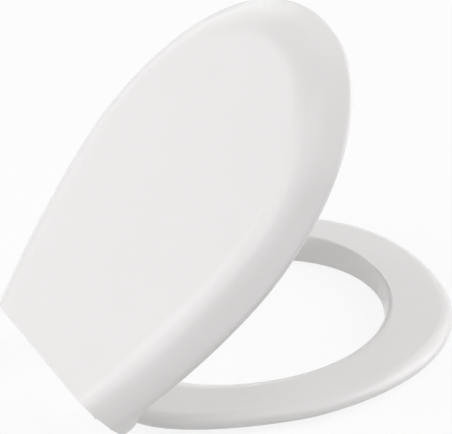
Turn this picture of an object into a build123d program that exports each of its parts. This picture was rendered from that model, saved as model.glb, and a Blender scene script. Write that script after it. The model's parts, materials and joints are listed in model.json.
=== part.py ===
"""Toilet seat with a soft-closing lid that stands half open, as separate parts.

Millimetres, +Z up, the front of the seat towards -Y. The origin lies on the bowl's rim,
midway between the two fixing holes. The lid's parts are drawn closed, then turned open.
"""
import os
from bisect import bisect_left
from math import atan2, copysign, cos, degrees, hypot, pi, radians, sin, tan

from build123d import *

# Fixing holes and hinge line
FIXING_SPACING = 155.0
AXIS_BACK = 34.0  # hinge line behind the fixing holes
AXIS_HEIGHT = 29.0  # hinge line above the rim
LID_OPEN = 47.7  # degrees

# Seat ring in plan, lengths measured forwards from the hinge line
RING_WIDTH = 362.0
RING_FRONT = 421.8
RING_REAR = 22.0
WIDEST = 205.6
RING_FRONT_POWER = 2.24
RING_TAPER_LENGTH = 300.0
RING_TAPER_POWER = 1.53
RING_CORNER_POWER = 7.0
HOLE_WIDTH = 229.2
HOLE_FRONT = 357.0
HOLE_REAR = 71.7
HOLE_POWER = 2.06

# Seat ring in section; ridge and crest heights are above the underside
RING_BOTTOM = 6.0  # height of the buffers
RIDGE_HEIGHT = 14.2
WAIST = 0.27  # height of the widest line, as a share of the ridge's
UPPER_ROLL = 12.2
ROLL_TURN = 60.0  # degrees turned by the upper roll
LOWER_ROLL = 4.0
SIDE_CREST = 0.55  # share of the way from the ridge to the hole
SIDE_CREST_HEIGHT = 20.5
FRONT_CREST = 0.94
FRONT_CREST_HEIGHT = 24.5
SLOPE_POWER = 1.7  # roundness of the slope from the crest to the hole
DRIP_DROP = 2.2  # inner rim below the ring's underside
DRIP_START = 0.87  # share of the way from the ridge to the hole
RING_WALL = 5.0
RING_SKIN = 3.8
POCKET_REACH = 0.8  # share of the way from the ridge to the hole
RIB_COUNT = 12
RIB_THICK = 3.0
NOTCH_GAP = 1.8  # beside the hinge foot's eye
NOTCH_WALL = 4.5

# Lid
LID_SIDE_LAP = 3.0
LID_FRONT_LAP = 4.0
LID_REAR = 6.0  # rear edge behind the hinge line
LID_TAPER_LENGTH = 350.0
LID_TAPER_POWER = 1.6
LID_FRONT_POWER = 2.13
LID_DEPTH = 28.65
LID_LAP_DOWN = 2.35  # lip below the ring's ridge
LID_WALL = 4.0
LIP_HEIGHT = 3.3
LIP_INNER_RADIUS = 1.0
SIDE_SLOPE = 41.0  # degrees from the panel
SIDE_TURN = 20.5  # tangent length of the panel's rounding
FRONT_SLOPE = 39.5
FRONT_TURN = 21.0
REAR_SLOPE = 46.0
REAR_TURN = 33.0
REAR_BLEND = 0.4  # share of the rear half over which the section changes
CHEEK_DROP = 11.7
CHEEK_LENGTH = 36.0  # from the hinge line forwards

# Hinge feet
PAD_THICK = 1.5
PAD_HOLE_RADIUS = 6.0
FLANGE_RADIUS = 20.0
FLANGE_THICK = 3.5
BOSS_RADIUS = 9.0
BOSS_HEIGHT = 13.0
INSERT_RADIUS = 5.5
INSERT_LENGTH = 12.0
THREAD_RADIUS = 3.4
ARM_WIDTH = 16.0
ARM_HALF = 4.5
ARM_FOOT_HEIGHT = 10.0
EYE_WIDTH = 21.4

# Pins, dampers and lugs
PIN_RADIUS = 4.0
BUSH_WALL = 1.5
BUSH_FLANGE = 0.8
BUSH_FLANGE_RIM = 2.0
OUTER_LUG = 17.0
INNER_LUG = 43.0
LUG_END_WALL = 3.0
LUG_HALF = 6.0
LUG_ROOT = 10.0  # ring lug's reach into the ring
WEB_SETBACK = 1.0  # lid lug's web in front of the lid's rear edge
DAMPER_RADIUS = 6.5
KEY_HEIGHT = 1.0
KEY_WIDTH = 3.0
KNUCKLE_WALL = 2.4
ROTOR_RADIUS = 3.0
ROTOR_LENGTH = 17.0
TONGUE_THICK = 5.5
GRUB_RADIUS = 2.0
GRUB_KEY = 1.1

# Buffers
BUFFER_LENGTH = 30.0
BUFFER_WIDTH = 13.0
BUFFER_EDGE = 1.5
BUFFER_TRACK = 0.45  # share of the way from the ridge to the hole
STEM_RADIUS = 2.5
STEM_LENGTH = 5.0
RING_BUFFER_ANGLES = {"front": -55.0, "rear": 25.0}
LID_BUFFER_ANGLE = -25.0
LID_BUFFER_RADIUS = 8.0
LID_BUFFER_HEIGHT = 8.0
LID_BOSS_RIM = 1.0

# Clearances
SEAT_FIT = 0.02  # pressed or glued
RUN_FIT = 0.05  # turning
SIDE_GAP = 0.5  # between neighbouring hinge pieces
CLOSE_GAP = 0.4  # lid buffer above the ring when closed

# Sizes that follow
RIDGE_Z = RING_BOTTOM + RIDGE_HEIGHT
RING_CLEAR = SIDE_CREST_HEIGHT + FRONT_CREST_HEIGHT  # more than the ring's whole height
LIP_Z = RIDGE_Z - LID_LAP_DOWN
LID_TOP = LIP_Z + LID_DEPTH
LIP_RADIUS = LID_WALL + LIP_INNER_RADIUS
LID_WIDTH = RING_WIDTH + 2 * LID_SIDE_LAP
LID_FRONT = RING_FRONT + LID_FRONT_LAP
KNUCKLE_RADIUS = DAMPER_RADIUS + SEAT_FIT + KNUCKLE_WALL
BUSH_RADIUS = PIN_RADIUS + RUN_FIT + BUSH_WALL
EYE_HALF = EYE_WIDTH / 2
INNER_FACE = EYE_HALF + SIDE_GAP
OUTER_FACE = EYE_HALF + SIDE_GAP + BUSH_FLANGE
RIM_Z = RING_BOTTOM - DRIP_DROP
ROLL_STEPS = 8
SLOPE_STEPS = 9
LOOP_POINTS = 48
ON_BASE = (Align.CENTER, Align.CENTER, Align.MIN)
HINGE_LINE = Axis((0, AXIS_BACK, AXIS_HEIGHT), (-1, 0, 0))
SIDES = {"left": -1, "right": 1}


def bow(share, power):
    """Width of a rounded outline at a share of its length."""
    return max(0.0, 1 - abs(share) ** power) ** (1 / power)


def loop(points):
    return Wire([Edge.make_spline([Vector(*point) for point in points], periodic=True)])


def even_picks(items, places, count):
    """Items whose places divide the way along all of them into even steps."""
    ways = [0.0]
    for (a, b), (c, d) in zip(places, places[1:]):
        ways.append(ways[-1] + hypot(c - a, d - b))
    return [items[bisect_left(ways, ways[-1] * (i / count))] for i in range(count + 1)]


# Seat ring
def ring_point(angle, inset):
    share = sin(angle)
    half = RING_WIDTH / 2 - inset
    if share < 0:
        reach = RING_FRONT - WIDEST - inset
        half *= bow(share, RING_FRONT_POWER)
    else:
        reach = WIDEST - RING_REAR - inset
        half *= bow(reach * share / RING_TAPER_LENGTH, RING_TAPER_POWER) * bow(share, RING_CORNER_POWER)
    return copysign(half, cos(angle)), AXIS_BACK - WIDEST + reach * share


def hole_point(angle):
    share = sin(angle)
    middle = AXIS_BACK - (HOLE_FRONT + HOLE_REAR) / 2
    half = HOLE_WIDTH / 2 * bow(share, HOLE_POWER)
    return copysign(half, cos(angle)), middle + share * (HOLE_FRONT - HOLE_REAR) / 2


def top_point(angle, share):
    """Point between the ring's ridge (0) and its hole (1)."""
    ridge = ring_point(angle, UPPER_ROLL)
    hole = hole_point(angle)
    return tuple(a + (b - a) * share for a, b in zip(ridge, hole))


def front_blend(angle):
    """0 at the sides and the rear, 1 at the front."""
    return min(0.0, sin(angle)) ** 2


def crest_share(angle):
    return SIDE_CREST + (FRONT_CREST - SIDE_CREST) * front_blend(angle)


def crest_height(angle):
    return RING_BOTTOM + SIDE_CREST_HEIGHT + (FRONT_CREST_HEIGHT - SIDE_CREST_HEIGHT) * front_blend(angle)


def top_height(angle, share):
    """Height of the face that rises from the ridge to the crest, and of the slope beyond."""
    crest, peak = crest_share(angle), crest_height(angle)
    if share <= crest:
        return RIDGE_Z + (peak - RIDGE_Z) * share / crest
    return RIM_Z + (peak - RIM_Z) * bow((share - crest) / (1 - crest), SLOPE_POWER)


def ring_loop(place):
    """Loop of the points that place gives for even steps round the ring."""
    fine = [2 * pi * i / 2400 for i in range(2401)]
    angles = even_picks(fine, [ring_point(a, 0) for a in fine], LOOP_POINTS)[:-1]
    return loop([place(angle) for angle in angles])


def outer_loop(inset, height):
    return ring_loop(lambda angle: (*ring_point(angle, inset), height))


def flat_loop(share, height):
    return ring_loop(lambda angle: (*top_point(angle, share), height))


def sunk_loop(share, depth):
    """Loop below the ring's top."""
    return ring_loop(lambda angle: (*top_point(angle, share), top_height(angle, share) - depth))


def slope_place(angle, step):
    """Point on the slope from the crest (0) to the hole's edge (1)."""
    share = crest_share(angle) + (1 - crest_share(angle)) * step
    return *top_point(angle, share), top_height(angle, share)


def slope_loop(step):
    return ring_loop(lambda angle: slope_place(angle, step))


def roll_section():
    """Evenly spaced (inset, height) steps from the underside round the outside to the ridge."""
    waist = WAIST * RIDGE_HEIGHT
    turn = radians(ROLL_TURN)
    fine = [i / 100 for i in range(101)]
    path = [(LOWER_ROLL * (1 - bow(1 - a, 2)), RING_BOTTOM + waist * a) for a in fine]
    for a in fine:
        inset = UPPER_ROLL * (1 - cos(turn * a)) / (1 - cos(turn))
        path.append((inset, RING_BOTTOM + waist + (RIDGE_HEIGHT - waist) * sin(turn * a) / sin(turn)))
    return even_picks(path, path, ROLL_STEPS)


def slope_steps():
    """Steps from the crest to the hole's edge that divide the side's section evenly."""
    fine = [i / 100 for i in range(101)]
    width = (RING_WIDTH / 2 - UPPER_ROLL - HOLE_WIDTH / 2) * (1 - SIDE_CREST)
    drop = RING_BOTTOM + SIDE_CREST_HEIGHT - RIM_Z
    return even_picks(fine, [(width * a, drop * bow(a, SLOPE_POWER)) for a in fine], SLOPE_STEPS)


def ring_body():
    """Rolls, top face, slope into the hole, sloping drip edge and flat underside as one closed skin."""
    rolls = [outer_loop(*step) for step in roll_section()]
    slope = [slope_loop(step) for step in slope_steps()]
    inner = flat_loop(DRIP_START, RING_BOTTOM)
    faces = Shell.make_loft(rolls).faces() + Shell.make_loft(slope).faces()
    faces += Shell.make_loft([rolls[-1], slope[0]], ruled=True).faces()
    faces += Shell.make_loft([slope[-1], inner], ruled=True).faces()
    return Solid(Shell(faces + [Face(rolls[0], [inner])]))


def ring_rib(angle):
    outer, inner = ring_point(angle, 0), hole_point(angle)
    run, rise = outer[0] - inner[0], outer[1] - inner[1]
    place = Pos((outer[0] + inner[0]) / 2, (outer[1] + inner[1]) / 2, RING_BOTTOM)
    return place * Rot(0, 0, degrees(atan2(rise, run))) * Box(hypot(run, rise), RIB_THICK, 2 * RING_CLEAR)


def buffer_place(angle, height):
    """Place on the ring's track, turned along it."""
    before, after = top_point(angle - 0.05, BUFFER_TRACK), top_point(angle + 0.05, BUFFER_TRACK)
    heading = degrees(atan2(after[1] - before[1], after[0] - before[0]))
    return Pos(*top_point(angle, BUFFER_TRACK), height) * Rot(0, 0, heading)


def mirrored_angle(angle, side):
    """Angle in radians on the chosen side of the seat."""
    return radians(angle) if side > 0 else pi - radians(angle)


def ring_buffer_places(height):
    places = {}
    for end, angle in RING_BUFFER_ANGLES.items():
        for name, side in SIDES.items():
            places[f"{end}_{name}"] = buffer_place(mirrored_angle(angle, side), height)
    return places


def hinge_notch(side, margin, depth):
    """Slot in the ring's rear edge around a hinge foot."""
    half = EYE_HALF + NOTCH_GAP + margin
    length = AXIS_BACK
    tip = Pos(side * FIXING_SPACING / 2, 0, RIM_Z) * Cylinder(half, depth, align=ON_BASE)
    way = Box(2 * half, length, depth, align=(Align.CENTER, Align.MIN, Align.MIN))
    return tip + Pos(side * FIXING_SPACING / 2, 0, RIM_Z) * way


def ring_pocket():
    """Hollow of the underside, with ribs, buffer seats and hinge walls left standing."""
    wall = LOWER_ROLL + RING_WALL
    foot, end = outer_loop(wall, RIM_Z), flat_loop(POCKET_REACH, RIM_Z)
    shoulder = outer_loop(wall, RIDGE_Z - 1.5 * RING_SKIN)
    roof = [sunk_loop(SIDE_CREST, RING_SKIN), sunk_loop(POCKET_REACH, 1.5 * RING_SKIN)]
    faces = Shell.make_loft([foot, shoulder, *roof, end], ruled=True).faces()
    pocket = Solid(Shell(faces + [Face(foot, [end])]))
    for i in range(RIB_COUNT):
        pocket -= ring_rib(2 * pi * (i + 0.5) / RIB_COUNT)
    seat = extrude(SlotOverall(BUFFER_LENGTH, BUFFER_WIDTH), RING_CLEAR)
    for place in ring_buffer_places(RIM_Z).values():
        pocket -= place * seat
    for side in SIDES.values():
        pocket -= hinge_notch(side, NOTCH_WALL, RING_CLEAR)
    return pocket


def seat_ring():
    ring = ring_body() - ring_pocket()
    for side in SIDES.values():
        ring -= hinge_notch(side, 0, RING_CLEAR)
    root_y = AXIS_BACK - RING_REAR - LUG_ROOT
    root_z = RING_BOTTOM + WAIST * RIDGE_HEIGHT + LUG_HALF / 2
    ring += inner_lug(1, root_y, root_z)
    ring += outer_lug(-1, root_y, root_z)
    ring -= damper_shape(1, SEAT_FIT)
    ring -= barrel(-1, OUTER_FACE - 1, OUTER_FACE + OUTER_LUG + 1, BUSH_RADIUS + SEAT_FIT)
    for place in ring_buffer_places(RING_BOTTOM).values():
        ring -= place * Cylinder(STEM_RADIUS + SEAT_FIT, 2 * STEM_LENGTH)
    return ring


# Hinge shapes, placed by their distance from a fixing hole, outwards positive
def station(side, offset):
    return side * (FIXING_SPACING / 2 + offset)


def barrel(side, start, end, radius):
    """Cylinder on the hinge line."""
    middle = Pos(station(side, (start + end) / 2), AXIS_BACK, AXIS_HEIGHT)
    return middle * Rot(0, 90, 0) * Cylinder(radius, end - start)


def link(side, start, end, foot_y, foot_z, half):
    """Bar from the hinge line to a foot point, of the given half thickness."""
    run, drop = AXIS_BACK - foot_y, AXIS_HEIGHT - foot_z
    length = hypot(run, drop)
    across = Vector(drop, -run) * (half / length)
    axis, foot = Vector(AXIS_BACK, AXIS_HEIGHT), Vector(foot_y, foot_z)
    outline = Polyline(axis + across, foot + across, foot - across, axis - across, close=True)
    plane = Plane.YZ.offset(min(station(side, start), station(side, end)))
    return extrude(plane * make_face(outline), end - start)


def inner_lug(side, foot_y, foot_z):
    start, end = -INNER_FACE - INNER_LUG, -INNER_FACE
    return barrel(side, start, end, KNUCKLE_RADIUS) + link(side, start, end, foot_y, foot_z, LUG_HALF)


def outer_lug(side, foot_y, foot_z):
    start, end = OUTER_FACE, OUTER_FACE + OUTER_LUG
    return barrel(side, start, end, KNUCKLE_RADIUS) + link(side, start, end, foot_y, foot_z, LUG_HALF)


def damper_shape(side, clearance):
    """Damper cylinder with its key, grown by the clearance; open towards the eye."""
    start = -INNER_FACE - INNER_LUG + LUG_END_WALL - clearance
    end = -INNER_FACE
    cylinder = barrel(side, start, end, DAMPER_RADIUS + clearance)
    rise = DAMPER_RADIUS + KEY_HEIGHT + clearance
    key = Box(end - start, KEY_WIDTH + 2 * clearance, rise, align=ON_BASE)
    return cylinder + Pos(station(side, (start + end) / 2), AXIS_BACK, AXIS_HEIGHT) * key


# Hinge parts
def foot_pad(side):
    pad = Cylinder(FLANGE_RADIUS, PAD_THICK, align=ON_BASE) - Cylinder(PAD_HOLE_RADIUS, 3 * PAD_THICK)
    return Pos(station(side, 0), 0, 0) * pad


def thread_insert(side):
    sleeve = Cylinder(INSERT_RADIUS, INSERT_LENGTH, align=ON_BASE)
    sleeve -= Cylinder(THREAD_RADIUS, 3 * INSERT_LENGTH)
    return Pos(station(side, 0), 0, 0) * sleeve


def tongue(side, start, end, clearance):
    """Round bar with two flats, on the hinge line."""
    bar = barrel(side, start, end, PIN_RADIUS + clearance)
    middle = Pos(station(side, (start + end) / 2), AXIS_BACK, AXIS_HEIGHT)
    return bar & middle * Box(end - start, 4 * PIN_RADIUS, TONGUE_THICK + 2 * clearance)


def grub_hole(side, radius):
    bottom = PIN_RADIUS + SEAT_FIT
    place = Pos(station(side, EYE_HALF / 2), AXIS_BACK, AXIS_HEIGHT + bottom)
    return place * Cylinder(radius, KNUCKLE_RADIUS - bottom, align=ON_BASE)


def hinge_foot(side):
    at_hole = Pos(station(side, 0), 0, PAD_THICK)
    foot = at_hole * Cylinder(FLANGE_RADIUS, FLANGE_THICK, align=ON_BASE)
    foot += at_hole * Cylinder(BOSS_RADIUS, BOSS_HEIGHT, align=ON_BASE)
    foot += link(side, -ARM_WIDTH / 2, ARM_WIDTH / 2, 0, ARM_FOOT_HEIGHT, ARM_HALF)
    foot += barrel(side, -EYE_HALF, EYE_HALF, KNUCKLE_RADIUS)
    foot -= Pos(station(side, 0), 0, 0) * Cylinder(INSERT_RADIUS + SEAT_FIT, 2 * (INSERT_LENGTH + SEAT_FIT))
    foot -= tongue(side, -EYE_HALF - 1, 0, SEAT_FIT)
    foot -= barrel(side, 0, EYE_HALF + 1, PIN_RADIUS + SEAT_FIT)
    foot -= grub_hole(side, GRUB_RADIUS + SEAT_FIT)
    return foot


def grub_screw(side):
    screw = grub_hole(side, GRUB_RADIUS)
    top = Pos(station(side, EYE_HALF / 2), AXIS_BACK, AXIS_HEIGHT + KNUCKLE_RADIUS - GRUB_RADIUS)
    screw -= top * extrude(RegularPolygon(GRUB_KEY, 6), 2 * GRUB_RADIUS)
    return screw


def hinge_pin(side):
    pin = barrel(side, SIDE_GAP, OUTER_FACE + OUTER_LUG, PIN_RADIUS)
    return chamfer(pin.edges(), PIN_RADIUS / 8)


def pin_bush(side):
    bush = barrel(side, OUTER_FACE, OUTER_FACE + OUTER_LUG, BUSH_RADIUS)
    bush += barrel(side, OUTER_FACE - BUSH_FLANGE, OUTER_FACE, BUSH_RADIUS + BUSH_FLANGE_RIM)
    return bush - barrel(side, 0, OUTER_FACE + OUTER_LUG + 1, PIN_RADIUS + RUN_FIT)


def damper_body(side):
    bore = barrel(side, -INNER_FACE - ROTOR_LENGTH, -INNER_FACE + 1, ROTOR_RADIUS + RUN_FIT)
    return damper_shape(side, 0) - bore


def damper_shaft(side):
    rotor = barrel(side, -INNER_FACE - ROTOR_LENGTH + SIDE_GAP, -EYE_HALF, ROTOR_RADIUS)
    return rotor + tongue(side, -EYE_HALF, -SIDE_GAP, 0)


# Lid
def lid_section(slope, turn, inset):
    """Evenly spaced (inset, depth) points from the lip's foot up to the flat panel."""
    slope = radians(slope)
    crease = (LID_DEPTH - LIP_HEIGHT) / tan(slope)
    roll_radius = turn / tan(slope / 2)
    lip_radius = LIP_RADIUS - inset
    lip_centre = (crease * sin(slope) + LIP_RADIUS * (1 - sin(slope))) / cos(slope)
    skirt = LID_DEPTH - lip_centre
    lip = lip_radius * (pi / 2 - slope)
    band_in = LIP_RADIUS - lip_radius * sin(slope)
    band_out = crease + turn - (roll_radius - inset) * sin(slope)
    band = (band_out - band_in) / cos(slope)
    total = skirt + lip + band + (roll_radius - inset) * slope
    points = []
    for i in range(13):
        way = total * i / 12
        if way <= skirt:
            point = inset, LID_DEPTH - way
        elif way <= skirt + lip:
            lean = pi / 2 - (way - skirt) / lip_radius
            point = LIP_RADIUS - lip_radius * sin(lean), lip_centre - lip_radius * cos(lean)
        elif way <= skirt + lip + band:
            run = (way - skirt - lip) * cos(slope)
            point = band_in + run, lip_centre - lip_radius * cos(slope) - run * tan(slope)
        else:
            lean = (total - way) / (roll_radius - inset)
            radius = roll_radius - inset
            point = crease + turn - radius * sin(lean), roll_radius - radius * cos(lean)
        points.append(point)
    return points


def lid_point(angle, side_step, front_step, rear_step):
    """Point of the lid's skin; the section changes from the sides to the front and to the rear."""
    share = sin(angle)
    end_step = front_step if share < 0 else rear_step
    blend = share ** 2 if share < 0 else sin(pi / 2 * min(1.0, share / REAR_BLEND)) ** 2
    inset, depth = (a + (b - a) * blend for a, b in zip(side_step, end_step))
    half = LID_WIDTH / 2 - inset
    if share < 0:
        half *= bow(share, LID_FRONT_POWER)
        reach = LID_FRONT - WIDEST - inset
    else:
        half *= bow(share, LID_TAPER_POWER)
        reach = LID_TAPER_LENGTH
    return copysign(half, cos(angle)), AXIS_BACK - WIDEST + reach * share, LID_TOP - depth


def lid_loops(inset):
    sections = [(SIDE_SLOPE, SIDE_TURN), (FRONT_SLOPE, FRONT_TURN), (REAR_SLOPE, REAR_TURN)]
    angles = [2 * pi * i / LOOP_POINTS for i in range(LOOP_POINTS)]
    loops = []
    for steps in zip(*[lid_section(slope, turn, inset) for slope, turn in sections]):
        loops.append(loop([lid_point(angle, *steps) for angle in angles]))
    return loops


def behind_lid():
    """Everything behind the lid's straight rear edge."""
    block = Box(2 * LID_WIDTH, 2 * LID_TAPER_LENGTH, 4 * LID_TOP, align=(Align.CENTER, Align.MIN, Align.CENTER))
    return Pos(0, AXIS_BACK + LID_REAR, 0) * block


def lid_cheeks(outside, inside):
    """Low walls at the rear corners, running out forwards into the lip."""
    foot = LIP_Z - CHEEK_DROP
    walls = extrude(Face(outside, [inside]), -CHEEK_DROP) - behind_lid()
    front = AXIS_BACK - CHEEK_LENGTH
    sweep = Spline((front, LIP_Z), (AXIS_BACK, foot), tangents=[(1, 0), (1, 0)])
    edge = Polyline((AXIS_BACK, foot), (AXIS_BACK, 0), (-2 * LID_FRONT, 0), (-2 * LID_FRONT, LIP_Z), (front, LIP_Z))
    return walls - extrude(Plane.YZ * make_face([sweep, edge]), LID_WIDTH, both=True)


def lid_web(side, start, end):
    """Block that ties a lid lug to the panel."""
    rear = LID_REAR - WEB_SETBACK
    depth = KNUCKLE_RADIUS + rear
    middle = AXIS_BACK + rear - depth / 2
    block = Box(end - start, depth, LID_TOP - AXIS_HEIGHT, align=ON_BASE)
    return Pos(station(side, (start + end) / 2), middle, AXIS_HEIGHT) * block


def lid_buffer_places(height):
    places = {}
    for name, side in SIDES.items():
        places[name] = buffer_place(mirrored_angle(LID_BUFFER_ANGLE, side), height)
    return places


def lid_buffer_foot():
    return crest_height(radians(LID_BUFFER_ANGLE)) + CLOSE_GAP


def lid_shell():
    outer_loops, inner_loops = lid_loops(0), lid_loops(LID_WALL)
    outside = Solid.make_loft(outer_loops)
    shell = outside - behind_lid() - Solid.make_loft(inner_loops)
    shell += lid_cheeks(outer_loops[0], inner_loops[0])
    lugs = barrel(-1, -INNER_FACE - INNER_LUG, -INNER_FACE, KNUCKLE_RADIUS)
    lugs += lid_web(-1, -INNER_FACE - INNER_LUG, -INNER_FACE)
    lugs += barrel(1, OUTER_FACE, OUTER_FACE + OUTER_LUG, KNUCKLE_RADIUS)
    lugs += lid_web(1, OUTER_FACE, OUTER_FACE + OUTER_LUG)
    top = lid_buffer_foot() + LID_BUFFER_HEIGHT
    for place in lid_buffer_places(top).values():
        lugs += place * Cylinder(LID_BUFFER_RADIUS + LID_BOSS_RIM, LID_TOP - top, align=ON_BASE)
    shell += lugs & outside
    shell -= damper_shape(-1, SEAT_FIT)
    shell -= barrel(1, OUTER_FACE - 1, OUTER_FACE + OUTER_LUG + 1, BUSH_RADIUS + SEAT_FIT)
    for place in lid_buffer_places(top).values():
        shell -= place * Cylinder(STEM_RADIUS + SEAT_FIT, 2 * STEM_LENGTH)
    return shell


# Buffers
def ring_buffer():
    pad = extrude(SlotOverall(BUFFER_LENGTH, BUFFER_WIDTH), -RING_BOTTOM)
    pad = fillet(pad.faces().sort_by(Axis.Z)[0].edges(), BUFFER_EDGE)
    return pad + Cylinder(STEM_RADIUS, STEM_LENGTH, align=ON_BASE)


def lid_buffer():
    pad = Pos(0, 0, -LID_BUFFER_HEIGHT) * Cylinder(LID_BUFFER_RADIUS, LID_BUFFER_HEIGHT, align=ON_BASE)
    pad = fillet(pad.faces().sort_by(Axis.Z)[0].edges(), BUFFER_EDGE)
    return pad + Cylinder(STEM_RADIUS, STEM_LENGTH, align=ON_BASE)


def opened(shape):
    return shape.rotate(HINGE_LINE, LID_OPEN)


def save(name, shape):
    export_step(shape, f"parts/{name}.step")


def main():
    os.makedirs("parts", exist_ok=True)
    save("seat_ring", seat_ring())
    for name, place in ring_buffer_places(RING_BOTTOM).items():
        save(f"ring_buffer_{name}", place * ring_buffer())
    save("ring_damper_body", damper_body(1))
    save("ring_damper_shaft", damper_shaft(1))
    save("lid", opened(lid_shell()))
    for name, place in lid_buffer_places(lid_buffer_foot() + LID_BUFFER_HEIGHT).items():
        save(f"lid_buffer_{name}", opened(place * lid_buffer()))
    save("lid_damper_body", opened(damper_body(-1)))
    save("lid_damper_shaft", damper_shaft(-1))
    save("pin_bush_left", pin_bush(-1))
    save("pin_bush_right", opened(pin_bush(1)))
    for name, side in SIDES.items():
        save(f"hinge_foot_{name}", hinge_foot(side))
        save(f"foot_pad_{name}", foot_pad(side))
        save(f"thread_insert_{name}", thread_insert(side))
        save(f"hinge_pin_{name}", hinge_pin(side))
        save(f"grub_screw_{name}", grub_screw(side))


main()
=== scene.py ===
import json
import math

import bpy
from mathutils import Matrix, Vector

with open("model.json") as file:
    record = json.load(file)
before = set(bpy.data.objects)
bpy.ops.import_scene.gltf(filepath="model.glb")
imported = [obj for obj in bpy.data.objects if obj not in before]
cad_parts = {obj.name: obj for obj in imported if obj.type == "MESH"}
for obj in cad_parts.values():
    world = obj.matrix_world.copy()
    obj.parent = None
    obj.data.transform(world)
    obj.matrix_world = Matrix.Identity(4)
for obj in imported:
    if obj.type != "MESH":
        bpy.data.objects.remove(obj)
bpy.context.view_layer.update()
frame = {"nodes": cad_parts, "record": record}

bl_info = {
    "name": "Toilet seat finishes",
    "version": (1, 0, 0),
    "blender": (4, 5, 0),
    "location": "View3D > Sidebar > Seat",
    "description": "Dresses the toilet seat in its moulded, cast and turned finishes on a plain studio stage",
    "category": "Object",
}

NODES = frame["nodes"]
MOUNTS = {mount["name"]: mount["dims"] for mount in frame["record"]["mounts"]}
FIXING_REACH = MOUNTS["fixing_holes"]["spacing_x_mm"] / 2000.0  # metres from the middle to a fixing hole

PLASTIC_IOR = 1.48
POLISH_SPREAD = 0.04  # how far the polish strays from the seat's roughness, either way
GROOVE_RATE = 9000.0  # radians of the turned grooves' wave to the metre

WHITE = (1.0, 1.0, 1.0, 1.0)
PAPER_DARK = (0.87, 0.87, 0.87)
PAPER_LIGHT = (0.89, 0.89, 0.89)
PAPER_ROUGHNESS = 0.9

# Stage sizes in metres
FLOOR_SIZE = 12.0
FLOOR_DROP = 0.0004  # keeps the floor just clear of the foot pads
LAMP_SIZE = 3.0
LAMP_DISTANCE = 4.0
CAMERA_REACH = 50.0

SENSOR_WIDTH = 36.0  # millimetres

# Each lamp's property, with its azimuth and elevation in degrees
LAMPS = (
    ("front_lamp", -90.0, 30.0),
    ("left_lamp", -112.5, 30.0),
    ("left_top_lamp", -135.0, 60.0),
    ("right_lamp", 0.0, 12.0),
    ("corner_lamp", 45.0, 12.0),
    ("back_lamp", 67.5, 30.0),
    ("back_top_lamp", 90.0, 60.0),
    ("back_left_lamp", 135.0, 30.0),
)


class Value:
    """A number that changes over a surface; arithmetic on it adds Math nodes."""

    def __init__(self, nodes, socket):
        self.nodes = nodes
        self.socket = socket

    def math(self, operation, *values):
        node = self.nodes.node("ShaderNodeMath", {"operation": operation}, dict(enumerate(values)))
        return Value(self.nodes, node.outputs[0])

    def __add__(self, other):
        return self.math("ADD", self, other)

    __radd__ = __add__

    def __sub__(self, other):
        return self.math("SUBTRACT", self, other)

    def __rsub__(self, other):
        return self.math("SUBTRACT", other, self)

    def __mul__(self, other):
        return self.math("MULTIPLY", self, other)

    __rmul__ = __mul__

    def __abs__(self):
        return self.math("ABSOLUTE", self)

    def root(self):
        return self.math("SQRT", self)

    def wave(self):
        return self.math("SINE", self)

    def between(self, low, high):
        """Takes 0 to low and 1 to high."""
        return self * (high - low) + low


class Nodes:
    """A node tree, filled by one method."""

    def __init__(self, tree):
        self.tree = tree

    def node(self, kind, settings=None, sockets=None):
        """Adds a node, sets it up, then fills its sockets."""
        node = self.tree.nodes.new(kind)
        for key, value in (settings or {}).items():
            if key == "stops":
                for element, (position, colour) in zip(node.color_ramp.elements, value):
                    element.position = position
                    element.color = (*colour, 1.0)
            else:
                setattr(node, key, value)
        self.fill(node, sockets or {})
        return node

    def fill(self, node, sockets):
        """Links or sets each of a node's sockets."""
        for key, value in sockets.items():
            if isinstance(value, Value):
                value = value.socket
            if isinstance(value, bpy.types.NodeSocket):
                self.tree.links.new(value, node.inputs[key])
            else:
                node.inputs[key].default_value = value

    def seen(self):
        """1 where the camera, a reflection or glass looks, 0 where light is gathered."""
        rays = self.node("ShaderNodeLightPath").outputs
        share = Value(self, rays["Is Camera Ray"])
        for ray in ("Is Glossy Ray", "Is Transmission Ray"):
            share = share.math("MAXIMUM", share, rays[ray])
        return share


class Finish(Nodes):
    """A material on Object coordinates."""

    def __init__(self, name):
        self.material = bpy.data.materials.new(name)
        self.material.use_nodes = True
        super().__init__(self.material.node_tree)
        self.shader = self.tree.nodes["Principled BSDF"]
        self.place = self.node("ShaderNodeTexCoord").outputs["Object"]

    def axes(self):
        """The surface point's x, y and z in metres."""
        outputs = self.node("ShaderNodeSeparateXYZ", sockets={0: self.place}).outputs
        return tuple(Value(self, socket) for socket in outputs)

    def noise(self, size, detail, stretch=(1.0, 1.0, 1.0)):
        """Even noise from 0 to 1 with features of about this size in metres."""
        scaled = self.node("ShaderNodeMapping", sockets={"Vector": self.place, "Scale": stretch})
        sockets = {"Vector": scaled.outputs[0], "Scale": 1.0 / size, "Detail": detail}
        return Value(self, self.node("ShaderNodeTexNoise", sockets=sockets).outputs[0])

    def colours(self, share, dark, light):
        """Runs from dark at 0 to light at 1."""
        stops = [(0.0, dark), (1.0, light)]
        return self.node("ShaderNodeValToRGB", {"stops": stops}, {0: share}).outputs[0]

    def bump(self, height, depth):
        """Relief of the given depth in metres."""
        sockets = {"Height": height, "Distance": depth, "Strength": 1.0}
        return self.node("ShaderNodeBump", sockets=sockets).outputs[0]

    def surface(self, sockets):
        """Fills the shader's own sockets."""
        self.fill(self.shader, sockets)


def tinted(colour, share):
    return tuple(channel * share for channel in colour)


def dress(material, *names):
    """Puts one material on whole nodes."""
    for name in names:
        slots = NODES[name].data.materials
        slots.clear()
        slots.append(material)


def both(name):
    return [f"{name}_left", f"{name}_right"]


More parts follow.
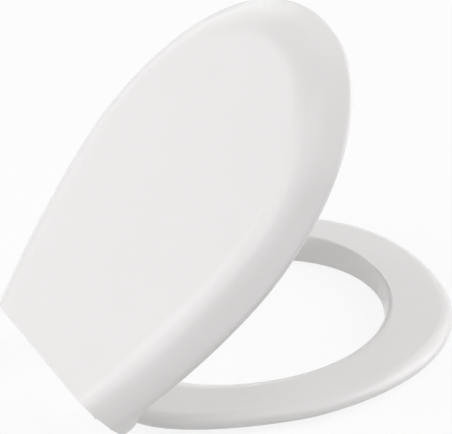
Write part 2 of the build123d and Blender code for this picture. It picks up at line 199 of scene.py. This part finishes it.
class SeatFinishes(bpy.types.PropertyGroup):
    """Colours of the seat's materials and the roughness of its plastic."""

    plastic: bpy.props.FloatVectorProperty(
        name="Seat plastic", description="Colour of the lid and the ring",
        subtype="COLOR", default=(0.875, 0.86, 0.855))
    plastic_roughness: bpy.props.FloatProperty(
        name="Seat roughness", description="Roughness of the polished moulding",
        subtype="FACTOR", default=0.22, min=0.0, max=1.0)
    plating: bpy.props.FloatVectorProperty(
        name="Hinge plating", description="Colour of the plated castings",
        subtype="COLOR", default=(0.72, 0.73, 0.75))
    pad: bpy.props.FloatVectorProperty(
        name="Soft pads", description="Colour of the buffers and foot pads",
        subtype="COLOR", default=(0.7, 0.7, 0.68))
    brass: bpy.props.FloatVectorProperty(
        name="Inserts", description="Colour of the threaded inserts",
        subtype="COLOR", default=(0.76, 0.58, 0.27))
    steel: bpy.props.FloatVectorProperty(
        name="Pins", description="Colour of pins and damper shafts",
        subtype="COLOR", default=(0.62, 0.62, 0.63))
    screw: bpy.props.FloatVectorProperty(
        name="Grub screws", description="Colour of the locking screws",
        subtype="COLOR", default=(0.2, 0.2, 0.21))
    bush: bpy.props.FloatVectorProperty(
        name="Bushes", description="Colour of the pin bushes",
        subtype="COLOR", default=(0.78, 0.78, 0.75))
    damper: bpy.props.FloatVectorProperty(
        name="Dampers", description="Colour of the damper bodies",
        subtype="COLOR", default=(0.06, 0.062, 0.07))


class SeatStage(bpy.types.PropertyGroup):
    """Camera, light and floor."""

    camera_place: bpy.props.FloatVectorProperty(
        name="Camera", description="Where the camera stands",
        subtype="XYZ", unit="LENGTH", default=(-3.00482, 1.35394, 2.23166))
    camera_view: bpy.props.FloatVectorProperty(
        name="View", description="Direction the camera looks in",
        subtype="DIRECTION", default=(0.75874, -0.38094, -0.52839))
    lens: bpy.props.FloatProperty(
        name="Lens", description="Focal length of the camera",
        unit="CAMERA", default=318.02, min=1.0)
    front_lamp: bpy.props.FloatProperty(
        name="Front lamp", description="Power of the low soft light in front",
        unit="POWER", default=46.0, min=0.0)
    left_lamp: bpy.props.FloatProperty(
        name="Left lamp", description="Power of the low soft light in front on the left",
        unit="POWER", default=63.0, min=0.0)
    left_top_lamp: bpy.props.FloatProperty(
        name="Left top lamp", description="Power of the high soft light in front on the left",
        unit="POWER", default=27.0, min=0.0)
    right_lamp: bpy.props.FloatProperty(
        name="Right lamp", description="Power of the lowest soft light, on the right",
        unit="POWER", default=22.0, min=0.0)
    corner_lamp: bpy.props.FloatProperty(
        name="Corner lamp", description="Power of the lowest soft light, behind on the right",
        unit="POWER", default=32.0, min=0.0)
    back_lamp: bpy.props.FloatProperty(
        name="Back lamp", description="Power of the low soft light behind",
        unit="POWER", default=58.0, min=0.0)
    back_top_lamp: bpy.props.FloatProperty(
        name="Back top lamp", description="Power of the high soft light behind",
        unit="POWER", default=40.0, min=0.0)
    back_left_lamp: bpy.props.FloatProperty(
        name="Back left lamp", description="Power of the low soft light behind on the left",
        unit="POWER", default=19.0, min=0.0)
    shadow: bpy.props.FloatProperty(
        name="Shadow", description="How much of the shadow the floor shows",
        subtype="FACTOR", default=0.12, min=0.0, max=1.0)


class SEAT_OT_mouldings(bpy.types.Operator):
    """Gives the lid and the ring their polished white plastic"""

    bl_idname = "seat.mouldings"
    bl_label = "Lid and ring"

    def execute(self, context):
        look = context.scene.seat_finishes
        white = Finish("polished_white_plastic")
        cloud = white.noise(size=0.09, detail=2.0)
        polish = white.noise(size=0.012, detail=4.0)
        peel = white.noise(size=0.004, detail=2.0)
        smoothest = look.plastic_roughness - POLISH_SPREAD
        roughest = look.plastic_roughness + POLISH_SPREAD
        white.surface({
            "Base Color": white.colours(cloud, tinted(look.plastic, share=0.985), look.plastic),
            "Roughness": polish.between(smoothest, roughest),
            "IOR": PLASTIC_IOR,
            "Normal": white.bump(peel, depth=0.00003)})
        dress(white.material, "lid", "seat_ring")
        return {"FINISHED"}


class SEAT_OT_feet(bpy.types.Operator):
    """Gives the cast hinge feet their bright plating"""

    bl_idname = "seat.feet"
    bl_label = "Hinge feet"

    def execute(self, context):
        look = context.scene.seat_finishes
        plated = Finish("plated_casting")
        ripple = plated.noise(size=0.006, detail=2.0)
        smear = plated.noise(size=0.02, detail=5.0, stretch=(1.0, 1.0, 3.0))
        plated.surface({
            "Base Color": plated.colours(smear, tinted(look.plating, share=0.9), look.plating),
            "Metallic": 1.0,
            "Roughness": smear.between(0.08, 0.24),
            "Normal": plated.bump(ripple, depth=0.00006)})
        dress(plated.material, *both("hinge_foot"))
        return {"FINISHED"}


class SEAT_OT_inserts(bpy.types.Operator):
    """Gives the threaded inserts their turned brass"""

    bl_idname = "seat.inserts"
    bl_label = "Threaded inserts"

    def execute(self, context):
        look = context.scene.seat_finishes
        brass = Finish("turned_brass")
        x, y, z = brass.axes()
        across = abs(x) - FIXING_REACH
        radius = (across * across + y * y).root()
        grooves = ((radius + z) * GROOVE_RATE).wave() * 0.5 + 0.5
        tarnish = brass.noise(size=0.004, detail=4.0)
        brass.surface({
            "Base Color": brass.colours(tarnish, tinted(look.brass, share=0.75), look.brass),
            "Metallic": 1.0,
            "Roughness": tarnish.between(0.2, 0.4),
            "Normal": brass.bump(grooves, depth=0.00004)})
        dress(brass.material, *both("thread_insert"))
        return {"FINISHED"}


class SEAT_OT_pins(bpy.types.Operator):
    """Gives the hinge pins and damper shafts their ground steel"""

    bl_idname = "seat.pins"
    bl_label = "Pins and shafts"

    def execute(self, context):
        look = context.scene.seat_finishes
        ground = Finish("ground_steel")
        lines = ground.noise(size=0.004, detail=3.0, stretch=(14.0, 1.0, 1.0))
        stain = ground.noise(size=0.008, detail=3.0)
        ground.surface({
            "Base Color": ground.colours(stain, tinted(look.steel, share=0.85), look.steel),
            "Metallic": 1.0,
            "Roughness": lines.between(0.2, 0.4),
            "Normal": ground.bump(lines, depth=0.00003)})
        dress(ground.material, *both("hinge_pin"), "lid_damper_shaft", "ring_damper_shaft")
        return {"FINISHED"}


class SEAT_OT_grub_screws(bpy.types.Operator):
    """Gives the grub screws their dark oxide"""

    bl_idname = "seat.grub_screws"
    bl_label = "Grub screws"

    def execute(self, context):
        look = context.scene.seat_finishes
        oxide = Finish("dark_oxide_steel")
        speckle = oxide.noise(size=0.0008, detail=4.0)
        oxide.surface({
            "Base Color": oxide.colours(speckle, tinted(look.screw, share=0.6), look.screw),
            "Metallic": 1.0,
            "Roughness": speckle.between(0.35, 0.6),
            "Normal": oxide.bump(speckle, depth=0.00002)})
        dress(oxide.material, *both("grub_screw"))
        return {"FINISHED"}


class SEAT_OT_bushes(bpy.types.Operator):
    """Gives the pin bushes and damper bodies their satin plastics"""

    bl_idname = "seat.bushes"
    bl_label = "Bushes and dampers"

    def execute(self, context):
        look = context.scene.seat_finishes
        for name, colour, pieces in (
                ("satin_bush_plastic", look.bush, both("pin_bush")),
                ("satin_damper_plastic", look.damper, ["lid_damper_body", "ring_damper_body"])):
            satin = Finish(name)
            grain = satin.noise(size=0.0009, detail=3.0)
            flow = satin.noise(size=0.01, detail=2.0)
            satin.surface({
                "Base Color": satin.colours(flow, tinted(colour, share=0.88), colour),
                "Roughness": grain.between(0.38, 0.53),
                "Normal": satin.bump(grain, depth=0.00002)})
            dress(satin.material, *pieces)
        return {"FINISHED"}


class SEAT_OT_pads(bpy.types.Operator):
    """Gives the buffers and foot pads their matt soft plastic"""

    bl_idname = "seat.pads"
    bl_label = "Buffers and pads"

    def execute(self, context):
        look = context.scene.seat_finishes
        soft = Finish("matt_soft_plastic")
        grain = soft.noise(size=0.0012, detail=4.0)
        patch = soft.noise(size=0.015, detail=3.0)
        soft.surface({
            "Base Color": soft.colours(patch, tinted(look.pad, share=0.9), look.pad),
            "Roughness": grain.between(0.55, 0.75),
            "Normal": soft.bump(grain, depth=0.00006)})
        buffers = [name for name in NODES if "buffer" in name]
        dress(soft.material, *buffers, *both("foot_pad"))
        return {"FINISHED"}


class SEAT_OT_stage(bpy.types.Operator):
    """Sets up the floor, the light and the camera"""

    bl_idname = "seat.stage"
    bl_label = "Stage"

    def execute(self, context):
        stage = context.scene.seat_stage
        self.floor(stage)
        self.surround(context.scene)
        self.lamps(stage)
        self.camera(context.scene, stage)
        context.scene.view_settings.view_transform = "Standard"
        return {"FINISHED"}

    def floor(self, stage):
        """Paper that looks white but for a share of its shadow, and bounces light as paper does."""
        bpy.ops.object.select_all(action="DESELECT")
        bpy.ops.mesh.primitive_plane_add(size=FLOOR_SIZE, location=(0.0, 0.0, -FLOOR_DROP))
        bpy.ops.object.transform_apply()
        floor = bpy.context.object
        floor.name = "floor"
        paper = Finish("white_paper")
        grain = paper.noise(size=0.3, detail=2.0)
        paper.surface({
            "Base Color": paper.colours(grain, PAPER_DARK, PAPER_LIGHT),
            "Roughness": PAPER_ROUGHNESS})
        lit = paper.shader.outputs[0]
        glow = paper.node("ShaderNodeEmission", sockets={"Color": WHITE, "Strength": 1.0})
        shaded = paper.node("ShaderNodeMixShader", sockets={0: stage.shadow, 1: glow.outputs[0], 2: lit})
        shown = paper.node("ShaderNodeMixShader", sockets={0: paper.seen(), 1: lit, 2: shaded.outputs[0]})
        paper.fill(paper.tree.nodes["Material Output"], {"Surface": shown.outputs[0]})
        floor.data.materials.append(paper.material)

    def surround(self, scene):
        """White walls that show and mirror, and light nothing else."""
        world = bpy.data.worlds.new("white_studio")
        world.use_nodes = True
        scene.world = world
        walls = Nodes(world.node_tree)
        walls.fill(walls.tree.nodes["Background"], {"Color": WHITE, "Strength": walls.seen()})

    def lamps(self, stage):
        """Large square lamps, all turned to the seat."""
        for name, azimuth, elevation in LAMPS:
            level = math.cos(math.radians(elevation))
            towards = Vector((
                level * math.cos(math.radians(azimuth)),
                level * math.sin(math.radians(azimuth)),
                math.sin(math.radians(elevation))))
            turn = (-towards).to_track_quat("-Z", "Y").to_euler()
            bpy.ops.object.light_add(type="AREA", location=towards * LAMP_DISTANCE, rotation=turn)
            lamp = bpy.context.object
            lamp.name = name
            lamp.data.shape = "SQUARE"
            lamp.data.size = LAMP_SIZE
            lamp.data.energy = getattr(stage, name)

    def camera(self, scene, stage):
        """The photograph's view of the seat."""
        turn = Vector(stage.camera_view).to_track_quat("-Z", "Y").to_euler()
        bpy.ops.object.camera_add(location=stage.camera_place, rotation=turn)
        camera = bpy.context.object
        camera.name = "camera"
        camera.data.lens = stage.lens
        camera.data.sensor_fit = "HORIZONTAL"
        camera.data.sensor_width = SENSOR_WIDTH
        camera.data.clip_end = CAMERA_REACH
        scene.camera = camera


PIECES = (
    SEAT_OT_mouldings,
    SEAT_OT_feet,
    SEAT_OT_inserts,
    SEAT_OT_pins,
    SEAT_OT_grub_screws,
    SEAT_OT_bushes,
    SEAT_OT_pads,
)


class SEAT_PT_sidebar(bpy.types.Panel):
    """Lists the seat's finishes and stage"""

    bl_idname = "SEAT_PT_sidebar"
    bl_label = "Toilet seat"
    bl_space_type = "VIEW_3D"
    bl_region_type = "UI"
    bl_category = "Seat"

    def draw(self, context):
        for group in (context.scene.seat_finishes, context.scene.seat_stage):
            for name in group.__annotations__:
                self.layout.prop(group, name)
        for piece in (*PIECES, SEAT_OT_stage):
            self.layout.operator(piece.bl_idname)


CLASSES = (SeatFinishes, SeatStage, *PIECES, SEAT_OT_stage, SEAT_PT_sidebar)


def register():
    for cls in CLASSES:
        bpy.utils.register_class(cls)
    bpy.types.Scene.seat_finishes = bpy.props.PointerProperty(type=SeatFinishes)
    bpy.types.Scene.seat_stage = bpy.props.PointerProperty(type=SeatStage)


def unregister():
    del bpy.types.Scene.seat_stage
    del bpy.types.Scene.seat_finishes
    for cls in reversed(CLASSES):
        bpy.utils.unregister_class(cls)


def main():
    register()
    bpy.ops.seat.mouldings()
    bpy.ops.seat.feet()
    bpy.ops.seat.inserts()
    bpy.ops.seat.pins()
    bpy.ops.seat.grub_screws()
    bpy.ops.seat.bushes()
    bpy.ops.seat.pads()
    bpy.ops.seat.stage()


if __name__ == "__main__":
    main()
